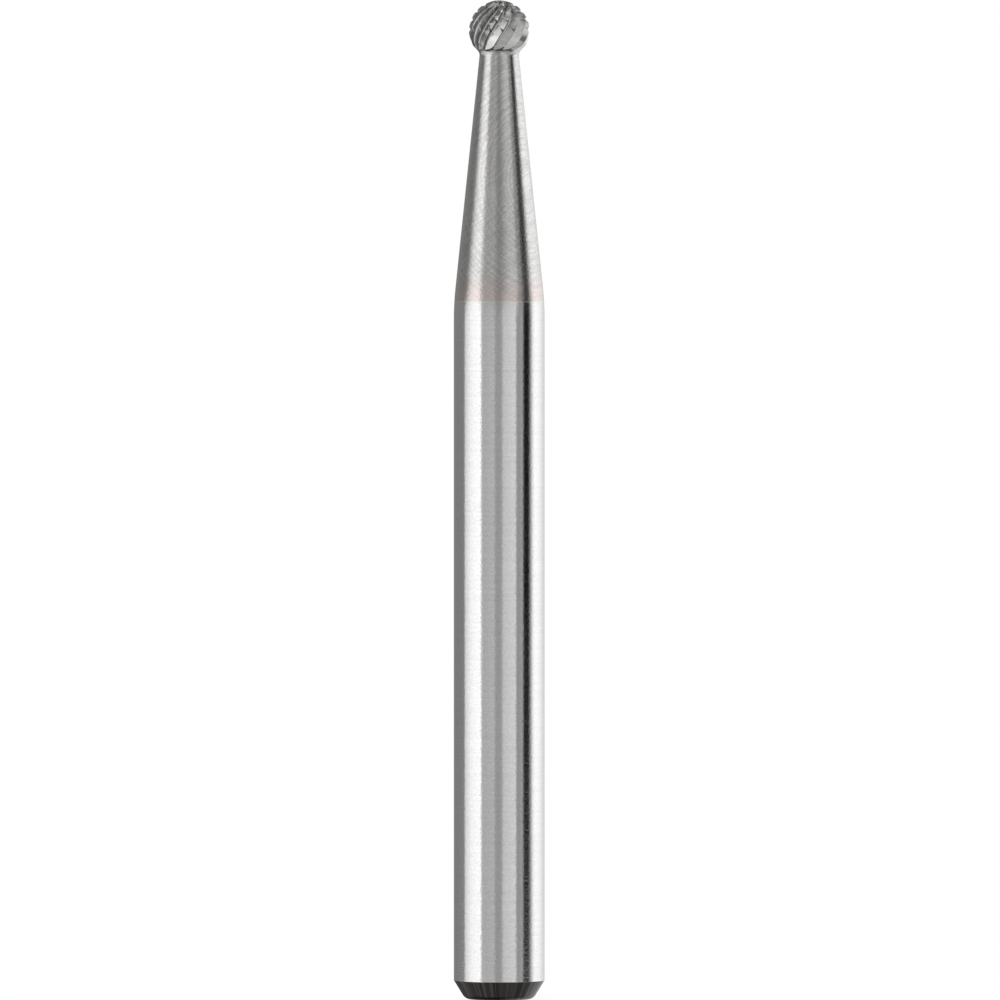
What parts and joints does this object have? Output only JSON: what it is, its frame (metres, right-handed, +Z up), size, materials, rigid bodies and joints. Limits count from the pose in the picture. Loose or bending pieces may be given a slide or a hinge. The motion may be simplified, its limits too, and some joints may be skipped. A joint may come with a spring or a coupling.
{
  "type": "carbide burr",
  "caption": "Miniature ball-nose carbide burr on a straight 3 mm steel shank, with spiral cross-cut teeth and a tapered neck, for fine grinding and deburring",
  "frame": {"origin": "centre of the flat end of the shank, on the tool's axis", "axes": "+Z runs up the tool's axis from the shank end to the cutting ball; -Y is the side that the picture shows, +X is the picture's right"},
  "size_m": [0.003, 0.003, 0.033],
  "materials": {
    "carbide": "tungsten carbide, ground, with fine crossing grinding lines and a faint brown heat tint at the foot of the taper",
    "braze": "ground silver braze filler, flush with the metal on both sides",
    "steel": "centreless-ground steel, bright, with very fine lines round the shank"
  },
  "bodies": {
    "root": {"carbide_head": "carbide", "braze_joint": "braze", "steel_shank": "steel"}
  },
  "joints": []
}
